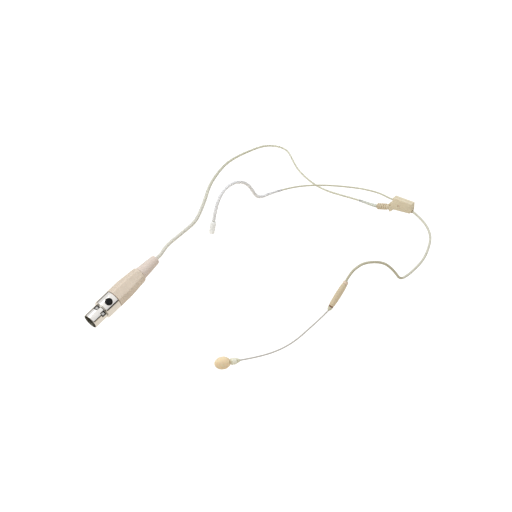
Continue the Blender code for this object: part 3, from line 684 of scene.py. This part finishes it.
def foam_look():
    """Open-cell foam: light crowns against painted shade in its pores, hollows and dent, and a soft glow from
    within.
    """
    look = Look("foam", linear(235, 220, 186), 0.95)
    look.tint(look.ranged(look.noise(1.2, 4), 0.0, 0.4), linear(241, 220, 182))
    # Painted shade: a spotted darker warm tint stands for the shade in the foam's pores.
    look.tint(look.ranged(look.cells(0.28), 0.0, 0.3, 0.2, 0.6), linear(232, 196, 146))
    # Painted shade: where the pointiness is low, in the foam's hollows, the colour turns a darker warm tone.
    low = look.node("ShaderNodeNewGeometry").outputs["Pointiness"]
    look.tint(look.ranged(low, 0.6, 0.0, 0.4, 0.5), linear(200, 158, 106))
    # Painted shade: a brown tint fading out around DENT stands for the shade in the foam's dent.
    away = look.node("ShaderNodeVectorMath", Vector=look.place)
    away.operation = "DISTANCE"
    away.inputs[1].default_value = DENT * MM
    look.tint(look.ranged(away.outputs["Value"], 0.75, 0.0, 0.35 * MM, 0.95 * MM), linear(176, 136, 84))
    look.bump(look.cells(0.16), 0.05, 0.6)
    look.glow(0.5, 1.6, (1.0, 0.85, 0.6))
    look.set(Specular_IOR_Level=0.1, Sheen_Weight=0.2)
    return look


LOOKS = {
    "block": moulded_plastic("block_plastic", linear(221, 209, 180)),
    "holder": moulded_plastic("holder_plastic", linear(217, 201, 170)),
    "cap": moulded_plastic("cap_plastic", linear(226, 206, 184)),
    "ring": moulded_plastic("ring_plastic", linear(236, 234, 214)),
    "boot": moulded_plastic("boot_plastic", linear(224, 222, 196)),
    "collar": moulded_plastic("collar_plastic", linear(206, 203, 178)),
    "handle": moulded_plastic("handle_plastic", linear(222, 207, 188), 0.2, 0.01, (0.36, 0.5)),
    "relief": soft_rubber("relief_rubber", linear(224, 211, 184)),
    "tail": soft_rubber("tail_rubber", linear(223, 208, 196)),
    "tube": drawn_coat("tube_coat", linear(210, 208, 190)),
    "arm": drawn_coat("arm_coat", linear(202, 200, 175)),
    "boom": drawn_coat("boom_coat", linear(192, 188, 180), (0.3, 0.42), 0.15),
    "cable": cable_jacket("cable_jacket", linear(198, 197, 178), linear(208, 206, 196)),
    "olive": soft_rubber("olive_sleeve", linear(198, 193, 168), (0.36, 0.5)),
    "sleeve": clear_silicone("clear_sleeve", linear(242, 242, 243)),
    "tip": clear_silicone("clear_tip", linear(246, 247, 243)),
    "taper": clear_silicone("taper_sleeve", linear(216, 220, 205)),
    "chrome": bright_plate("chrome", linear(236, 232, 226)),
    # The bore's darker metal is partly unplated metal and partly painted shade inside the plug.
    "bore": turned_metal("bore_metal_and_painted_shade", linear(118, 115, 103), (0.3, 0.45)),
    "steel": turned_metal("steel", linear(190, 188, 184)),
    "brass": turned_metal("brass", linear(206, 172, 104)),
    "black": moulded_plastic("black_plastic", linear(5, 6, 6), 0.12, 0.006, (0.3, 0.42), 0.2),
    "black_rubber": soft_rubber("black_rubber", linear(30, 30, 30)),
    "brown": soft_rubber("brown_rubber", linear(140, 84, 58)),
    "foam": foam_look(),
}


def dress(obj, look, body, slot, *nodes):
    """Give a new piece its look, and let it ride on a body in place of CAD nodes. Its slot is not used."""
    obj.data.materials.clear()
    obj.data.materials.append(LOOKS[look].material)
    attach(obj, body)
    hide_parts(*nodes)


def keep(look, *nodes):
    """Give CAD nodes that stay in view, or inside, a finished material."""
    for node in nodes:
        materials = frame["nodes"][node].data.materials
        materials.clear()
        materials.append(LOOKS[look].material)


# ---------------------------------------------------------------- nape block


def make_block():
    """The two halves of the nape block, their screw and pin, and what the block holds."""
    for half in ("inner_shell", "outer_shell"):
        block = refined("block_" + half, "yoke_" + half, 0.12)
        dress(block, "block", "headset", "beige_plastic", "yoke_" + half)
    keep("cap", "yoke_screw")
    keep("steel", "cable_crimp")
    keep("brass", "yoke_pin", "left_tube_ferrule", "slide_bush")
    keep("black_rubber", "slide_friction_ring")


def make_relief():
    """The strain relief: soft ribs, a smooth base, and a neck and flange held inside the block."""
    base, neck, bore = 1.9, 1.0, 0.8
    outline = [(1.05, RELIEF_END), (RIB_ROOT, RELIEF_END, 0.1)]
    for rib in range(RIB_COUNT):
        top = RELIEF_END - 0.45 - RIB_PITCH * rib
        outline += [
            (RIB_ROOT, top + 0.08, 0.05), (RIB_RADIUS, top - 0.02, 0.2),
            (RIB_RADIUS, top - 0.78, 0.2), (RIB_ROOT, top - 0.88, 0.05)]
    outline += [
        (base, 1.6, 0.2), (base, 0.2, 0.15), (neck, 0.12), (neck, -1.3), (RIB_ROOT, -1.3),
        (RIB_ROOT, RELIEF_BASE), (bore, RELIEF_BASE), (bore, RELIEF_END)]
    dress(turned("relief", outline, RELIEF), "relief", "headset", "beige_rubber", "strain_relief")


# ---------------------------------------------------------------- arms


def make_right_arm():
    """The sliding arm: its wire, clear sleeve, end stop and clear tip."""
    line = relaxed(smooth(centre_line("right_arm_wire", ORIGIN)), 8, 1)
    wire = cord("right_wire", line, RIGHT_WIRE)
    dress(wire, "arm", "right_arm", "sprung_wire", "right_arm_wire")
    begin, *_, end = centre_line("right_ear_sleeve", ORIGIN)
    covered = line[nearest(line, begin) - SLEEVE_EXTRA:nearest(line, end) + 1]

    def swelling(share):
        """Thin at the mouth, and full from a fifth of the way on."""
        return SLEEVE_MOUTH + (SLEEVE_RADIUS - SLEEVE_MOUTH) * min(1, share * 5)

    sleeve = pipe("right_sleeve", covered, swelling, SLEEVE_BORE)
    dress(sleeve, "sleeve", "right_arm", "clear_sleeve", "right_ear_sleeve")
    hole = 0.7
    outline = [
        (0, TIP_LENGTH), (1.75, TIP_LENGTH, 0.4), (1.9, 1.4, 0.6), (1.5, 0, 0.3),
        (hole, 0), (hole, 5.5), (0.4, 5.9), (0, 6.0)]
    dress(turned("right_tip", outline, TIP, FINE), "tip", "right_arm", "clear_tip", "right_ear_tip")
    keep("steel", "right_wire_stop")


def make_left_arm():
    """The fixed arm: its tube with the lead inside it, and its olive ear sleeve."""
    plain = smooth(centre_line("left_arm_tube", ORIGIN))
    step = (plain[1] - plain[0]).length
    meeting = nearest(plain, centre_line("left_ear_sleeve", ORIGIN)[0])
    hook_length = (len(plain) - meeting) * step
    line = relaxed(plain, 4, hook_length + 6, 120)
    for index, point in enumerate(line):
        reach = max(0.0, index * step - BULGE_START) / BULGE_AT
        line[index] = point + BULGE_SIDE * BULGE * reach * math.exp(1 - reach)
    lead = smooth(centre_line("microphone_lead", RELIEF.translation / MM))
    for index, point in enumerate(lead):
        beside = nearest(plain, point)
        lead[index] = point + line[beside] - plain[beside]
    lead_cord = cord("left_lead", lead, LEAD, 16)
    dress(lead_cord, "black_rubber", "headset", "lead_insulation", "microphone_lead")
    met = meeting / len(line)

    def stepped(share):
        """Full along the band, and thinner just before the ear sleeve covers it."""
        return BAND_TUBE - (BAND_TUBE - HOOK_TUBE) * min(1, max(0, (share - met) * 300 + 1))

    tube = pipe("left_tube", line, stepped, TUBE_BORE)
    dress(tube, "tube", "headset", "coated_tube", "left_arm_tube")
    inside_cap = HOLDER @ Vector((0, 0, 0.6 * MM)) / MM
    covered = line[meeting:nearest(line, inside_cap) + 1]

    def swelling(share):
        """A little thinner at both ends."""
        return HOOK_SLEEVE_END + (BAND_TUBE - HOOK_SLEEVE_END) * min(1, share * 12, (1 - share) * 12)

    sleeve = pipe("left_sleeve", covered, swelling, HOOK_SLEEVE_BORE)
    dress(sleeve, "olive", "headset", "olive_sleeve", "left_ear_sleeve")


# ---------------------------------------------------------------- boom holder, boom and head


def make_holder():
    """The spindle on the left hook, with its cap, brown ring and turning nose."""

    def part(name, outline, look, body, slot, node):
        """One turned piece of the spindle."""
        dress(turned(name, outline, HOLDER, FINE), look, body, slot, node)

    plug_radius, cap_bore, cap_depth = 1.25, 0.95, 2.4
    cap = [
        (plug_radius, cap_depth), (plug_radius, 1.55), (1.6, 1.5, 0.1), (1.45, 0.3, 0.3), (1.1, 0, 0.15),
        (cap_bore, 0), (cap_bore, cap_depth)]
    part("spindle_cap", cap, "cap", "headset", "light_beige_plastic", "holder_cap")
    rim, swell, lip, bore = 1.5, 0.38, 1.42, 1.1
    start, end = HOLDER_BASE, HOLDER_END
    shell = [(lip, end)]
    steps = 28
    for step in range(steps + 1):
        share = step / steps
        height = end - 0.08 - (end - start - 0.16) * share
        shell.append((rim + swell * math.sin(math.pi * share) ** 0.6, height))
    shell += [(lip, start), (1.4, start), (1.4, 3.0), (bore, 3.2), (bore, end)]
    part("spindle", shell, "holder", "headset", "beige_plastic", "holder_shell")
    low, middle, high = end + 0.1, end + 0.35, end + 0.6
    ring = [(1.38, high), (1.5, middle, 0.1), (1.38, low), (1.05, low), (1.05, high)]
    part("spindle_ring", ring, "brown", "headset", "brown_rubber", "holder_ring")
    hole, inner = 0.62, 0.95
    tip, seat, bottom = end + 3, end + 0.8, end - 1.2
    nose = [
        (hole, tip), (0.85, tip, 0.1), (1.3, end + 2.1, 0.3), (1.45, seat, 0.1), (inner, seat),
        (inner, bottom), (hole, bottom)]
    part("spindle_nose", nose, "collar", "boom_collar", "light_beige_plastic", "boom_collar")


def make_boom():
    """The thin boom, its boot and ring, and the capsule inside the windscreen."""
    line = relaxed(smooth(centre_line("boom_tube", HOLDER.translation / MM)), 13, 3, 150)
    dress(cord("boom", line, BOOM), "boom", "boom", "sprung_wire", "boom_tube")

    def part(name, outline, look, slot, node):
        """One turned piece of the head."""
        dress(turned(name, outline, HEAD, FINE), look, "boom", slot, node)

    hole, hole_end, boot_end = 0.62, 1.5, 2.0
    boot = [
        (0, boot_end), (1.3, boot_end, 0.15), (1.5, 1.75, 0.2), (0.8, 0, 0.15),
        (hole, 0), (hole, hole_end), (0, hole_end)]
    part("head_boot", boot, "boot", "beige_plastic", "capsule_boot")
    ring_radius, ring_bore, ring_start, ring_end = 2.0, 1.0, 2.4, 5.3
    ring = [
        (1.8, ring_end), (ring_radius, ring_end - 0.2, 0.15), (ring_radius, ring_start + 0.2, 0.15),
        (1.8, ring_start), (ring_bore, ring_start), (ring_bore, ring_end)]
    part("head_ring", ring, "ring", "light_beige_plastic", "capsule_ring")
    wall, inside, neck, lead_hole = 1.35, 1.1, 0.9, 0.5
    start, end, floor = 2.3, 10, 5.9
    housing = [
        (inside, end), (wall, end, 0.1), (wall, ring_end), (neck, ring_end), (neck, start),
        (lead_hole, start), (lead_hole, floor), (inside, floor)]
    part("head_housing", housing, "boot", "beige_plastic", "capsule_housing")
    keep("steel", "boom_stop", "microphone_cartridge", "capsule_grille")


def make_windscreen():
    """The foam windscreen: an egg whose skin is broken by real pores."""
    open_angle = math.asin(SCREEN_BORE / SCREEN_RADIUS)
    rows = 120
    x_axis, y_axis = Vector((1, 0, 0)), Vector((0, 1, 0))
    centre = Vector((0, 0, SCREEN_MIDDLE))
    rings = []
    for row in range(rows + 1):
        angle = (math.pi - open_angle) * row / rows
        height = Vector((0, 0, SCREEN_HALF * math.cos(angle)))
        rings.append((centre + height, x_axis, y_axis, SCREEN_RADIUS * math.sin(angle)))
    floor = Vector((0, 0, SCREEN_FLOOR))
    rings += [(floor, x_axis, y_axis, SCREEN_BORE), (floor, x_axis, y_axis, 0)]
    foam = loft("windscreen_foam", rings, 168, False, HEAD, 80)
    for vertex in foam.data.vertices:
        place = vertex.co / MM
        if math.hypot(place.x, place.y) < SCREEN_BORE + 0.02 and place.z < SCREEN_MIDDLE:
            continue
        out = (place - centre).normalized()
        lump = noise.noise(place * 0.55) * 0.08
        fine = noise.noise(place * 5.5) * 0.05
        from_pore = noise.voronoi(place * 2.6)[0][0]
        pore = 0.16 * max(0.0, 1 - from_pore / 0.42) ** 1.2
        dent = 0.5 * max(0.0, 1 - (place - DENT).length ** 2)
        vertex.co = (place + out * (lump + fine - pore - dent - 0.02)) * MM
    dress(foam, "foam", "windscreen", "foam", "windscreen")


# ---------------------------------------------------------------- cable


def make_cable():
    """One cable across the hinge, and a tapered sleeve by the strain relief."""
    first = centre_line("headset_cable", ORIGIN)
    second = centre_line("plug_cable", first[-1], 2.1)
    line = relaxed(smooth(first + second[1:], 0.9), 12, 45)
    exit_point = PLUG @ Vector((0, 0, (TAIL_END + TAIL_TRAVEL) * MM)) / MM
    sag = -(PLUG.to_3x3() @ Vector((0, 1, 0)))
    for index, point in enumerate(line):
        reach = max(0.0, (point - exit_point).dot(PLUG_BACK)) / CABLE_BOW_AT
        line[index] = point + sag * CABLE_BOW * reach ** 2 * math.exp(2 - 2 * reach)

    def thicker(share):
        """Thin by the headset, and thick from the far side of the arch to the plug."""
        return CABLE_THIN + (CABLE_THICK - CABLE_THIN) * min(1, max(0, (share - 0.35) / 0.35))

    cable = cord("cable", line, thicker, 28)
    cable.data.materials.append(LOOKS["cable"].material)
    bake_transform(cable)
    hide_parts("headset_cable", "plug_cable")
    covered = smooth(centre_line("cable_sleeve", ORIGIN))
    taper = pipe("taper_sleeve", covered, lambda share: 1.15 - 0.4 * share ** 1.4, CABLE_THIN + 0.02)
    dress(taper, "taper", "headset", "clear_tip", "cable_sleeve")


# ---------------------------------------------------------------- plug


def make_plug_shell():
    """The bright shell, with its thread, button hole, groove and two windows. Its bore and the groove's floor take
    a darker, duller metal, partly for unplated metal and partly as painted shade.
    """
    root, crest, groove = 4.85, 5.05, 4.6
    outline = [(root, SPIGOT_END)]
    for turn in range(5):
        height = SPIGOT_END - 0.4 - turn
        outline += [(crest, height - 0.1, 0.1), (crest, height - 0.45, 0.1), (root, height - 0.7)]
    outline += [
        (root, BODY_END), (BODY - 0.2, BODY_END), (BODY, BODY_END - 0.15, 0.15),
        (BODY, BARREL_END + 0.25, 0.3), (BODY - 0.3, BARREL_END, 0.15), (BARREL, BARREL_END),
        (BARREL, BARREL_END - 0.15), (groove, BARREL_END - 0.2), (groove, BARREL_END - 0.6),
        (BARREL, BARREL_END - 0.65, 0.06), (BARREL, 0.25, 0.15), (4.8, 0, 0.12), (4.42, 0, 0.08),
        (SHELL_BORE, 0.2), (SHELL_BORE, SPIGOT_END)]
    shell = turned("plug_barrel", outline, PLUG, 128)
    cut_round(shell, PLUG, BUTTON_HOLE, (2, 0, BUTTON_AT), (8, 0, BUTTON_AT))
    for middle in (WINDOW_SIDE, -WINDOW_SIDE):
        cut_box(shell, PLUG, (0.4, middle - WINDOW_HALF, 6.3), (6.1, middle + WINDOW_HALF, 9.3))
    dress(shell, "chrome", "plug", "chrome", "plug_shell")
    # Painted shade, partly unplated metal: every face nearer the axis than just past the groove's floor, so the
    # bore and the groove among them, takes the darker bore metal.
    shell.data.materials.append(LOOKS["bore"].material)
    for face in shell.data.polygons:
        inside = math.hypot(face.center.x, face.center.y) < (groove + 0.04) * MM
        face.material_index = int(inside)
    keep("black", "contact_insert")
    keep("brass", *(f"socket_contact_{number}" for number in range(1, 5)))
    keep("collar", "cable_clamp")


def make_latch():
    """The sprung latch plate and the domed button."""
    dress(refined("latch_strip", "latch_plate", 0.08, 35), "steel", "latch", "steel", "latch_plate")
    top, rim, base = 6.75, 2.25, 3.15
    button = [
        (0, top - 0.12), (0.7, top - 0.12, 0.1), (1.0, top - 0.02, 0.2), (1.6, top - 0.1, 0.3),
        (rim, top - 0.45, 0.35), (rim, base), (0, base)]
    place = PLUG @ Matrix.Translation((0, 0, BUTTON_AT * MM)) @ Matrix.Rotation(math.pi / 2, 4, "Y")
    dress(turned("release_button", button, place), "black", "latch", "black_plastic", "latch_button")


def make_handle():
    """The six-sided handle, which tapers to the tail."""
    start, end, lip = HANDLE_START, HANDLE_END, HANDLE_END - 1.2
    flats_start, flats_end = start + 0.5, end - 0.9
    mouth, thread, thread_end, inside = 3.6, 5.2, 28.0, 4.5
    blend = 0.03

    def facets(radius, height):
        """The ring's radius at each angle: round, cut by six flats that lean with the taper."""
        outside = radius > 4.6 and flats_start < height < flats_end
        if not outside:
            return radius
        ease = min(1, (height - flats_start) / 0.5, (flats_end - height) / 0.9)
        depth = radius * (1 - FLAT_DEPTH * ease)

        def reach(angle):
            """The lesser of the round and the nearest flat, with a soft corner between them."""
            off = (angle - HANDLE_TURN + math.pi / 6) % (math.pi / 3) - math.pi / 6
            flat = depth / math.cos(off)
            return radius - blend * math.log(math.exp((radius - flat) / blend) + 1)
        return reach

    outline = [(mouth, end), (4.6, end), (4.78, end - 0.1, 0.1), (5.0, end - 0.35, 0.2)]
    steps = 30
    for step in range(steps + 1):
        height = flats_end - (flats_end - start - 0.25) * step / steps
        share = max(0.0, (height - HANDLE_SHOULDER) / (end - 2 - HANDLE_SHOULDER))
        outline.append((6.2 - 0.95 * share ** 1.15, height))
    outline += [
        (6.0, start, 0.1), (thread, start), (thread, thread_end), (inside, thread_end),
        (inside, lip), (mouth, lip)]
    handle = turned("plug_grip", outline, PLUG, 144, facets, 50)
    dress(handle, "handle", "handle", "light_beige_plastic", "plug_handle")


def make_tail():
    """The soft tail, which tapers to the cable."""
    start, end = TAIL_START, TAIL_END
    bore, small, large = CABLE_THICK + 0.06, 3.1, 4.2
    neck, flange, flange_start, flange_end = 3.35, 4.3, 40.2, 41.5
    outline = [
        (bore, end - 0.3), (1.45, end, 0.15), (2.1, end, 0.3), (2.75, end - 0.25, 0.3),
        (small, end - 1.2, 0.5)]
    steps = 12
    for step in range(1, steps + 1):
        share = step / steps
        radius = small + (large - small) * share + 0.06 * math.sin(math.pi * share)
        outline.append((radius, end - 1.6 - (end - 1.6 - start - 0.2) * share))
    outline += [
        (large, start, 0.1), (neck, start), (neck, flange_end), (flange, flange_end),
        (flange, flange_start), (bore, flange_start)]
    dress(turned("plug_boot", outline, PLUG), "tail", "tail", "light_beige_rubber", "plug_tail")


# ---------------------------------------------------------------- stage


def make_floor():
    """A plain pale floor, low enough for the boom to swing over it."""
    low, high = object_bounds()
    middle = (low + high) / 2
    place = Matrix.Translation((middle.x, middle.y, low.z - FLOOR_DROP * MM))
    shape = bmesh.new()
    bmesh.ops.create_grid(shape, x_segments=1, y_segments=1, size=3.0)
    floor = finish_mesh("floor", shape, place)
    look = Look("floor", (0.3, 0.3, 0.3), 0.9)
    look.tint(look.ranged(look.noise(60, 3), 0.0, 0.3), (0.28, 0.28, 0.275))
    seen = look.node("ShaderNodeLightPath").outputs["Is Camera Ray"]
    look.feed(look.shader.inputs["Emission Strength"], look.ranged(seen, FLOOR_GLOW, FLOOR_WHITE, 0, 1))
    look.feed(look.shader.inputs["Emission Color"], look.mixed(seen, WARM, (1.0, 1.0, 1.0)))
    look.set(Specular_IOR_Level=0.0)
    floor.data.materials.append(look.material)


def make_world():
    """A white studio: pure white to the camera, and otherwise soft from above with a dark band."""
    world = bpy.data.worlds.new("studio")
    bpy.context.scene.world = world
    world.use_nodes = True
    nodes, links = world.node_tree.nodes, world.node_tree.links
    background = nodes["Background"]
    place = nodes.new("ShaderNodeTexCoord")
    split = nodes.new("ShaderNodeSeparateXYZ")
    links.new(place.outputs["Generated"], split.inputs[0])
    ramp = nodes.new("ShaderNodeValToRGB")
    band = ramp.color_ramp
    while len(band.elements) < len(SKY):
        band.elements.new(0.5)
    for element, (position, level, colour) in zip(band.elements, SKY):
        element.position = position
        element.color = (*(level * part for part in colour), 1)
    height = nodes.new("ShaderNodeMapRange")
    height.inputs["From Min"].default_value = -1
    links.new(split.outputs["Z"], height.inputs["Value"])
    links.new(height.outputs["Result"], ramp.inputs[0])
    direct = nodes.new("ShaderNodeLightPath")
    mix = nodes.new("ShaderNodeMix")
    mix.data_type = "RGBA"
    links.new(direct.outputs["Is Camera Ray"], mix.inputs[0])
    links.new(ramp.outputs["Color"], mix.inputs[6])
    mix.inputs[7].default_value = (1, 1, 1, 1)
    links.new(mix.outputs[2], background.inputs["Color"])
    background.inputs["Strength"].default_value = 1.0


def area_light(name, place, target, size, power):
    """A square soft light aimed at a point."""
    light = bpy.data.lights.new(name, "AREA")
    light.size = size
    light.energy = power
    obj = bpy.data.objects.new(name, light)
    obj.location = place
    obj.rotation_euler = (Vector(target) - Vector(place)).to_track_quat("-Z", "Y").to_euler()
    bpy.context.scene.collection.objects.link(obj)


def make_lights():
    """A large key light above, from the camera's left."""
    middle = (CAD_BOX[0] + CAD_BOX[1]) / 2
    area_light("key", middle + KEY_OFFSET, middle, KEY_SIZE, KEY_POWER)


def make_camera():
    """The camera, at the photograph's angle and distance."""
    data = bpy.data.cameras.new("camera")
    data.lens = LENS
    data.sensor_width = 36
    data.clip_start = 0.01
    data.clip_end = 20
    camera = bpy.data.objects.new("camera", data)
    level = math.cos(ELEVATION)
    back = Vector((math.sin(AZIMUTH) * level, -math.cos(AZIMUTH) * level, math.sin(ELEVATION)))
    camera.location = (TARGET + back * DISTANCE) * MM
    camera.rotation_mode = "QUATERNION"
    camera.rotation_quaternion = (-back).to_track_quat("-Z", "Y")
    bpy.context.scene.collection.objects.link(camera)
    bpy.context.scene.camera = camera


make_block()
make_relief()
make_right_arm()
make_left_arm()
make_holder()
make_boom()
make_windscreen()
make_cable()
make_plug_shell()
make_latch()
make_handle()
make_tail()
make_floor()
make_world()
make_lights()
make_camera()
bpy.context.scene.view_settings.view_transform = "Standard"
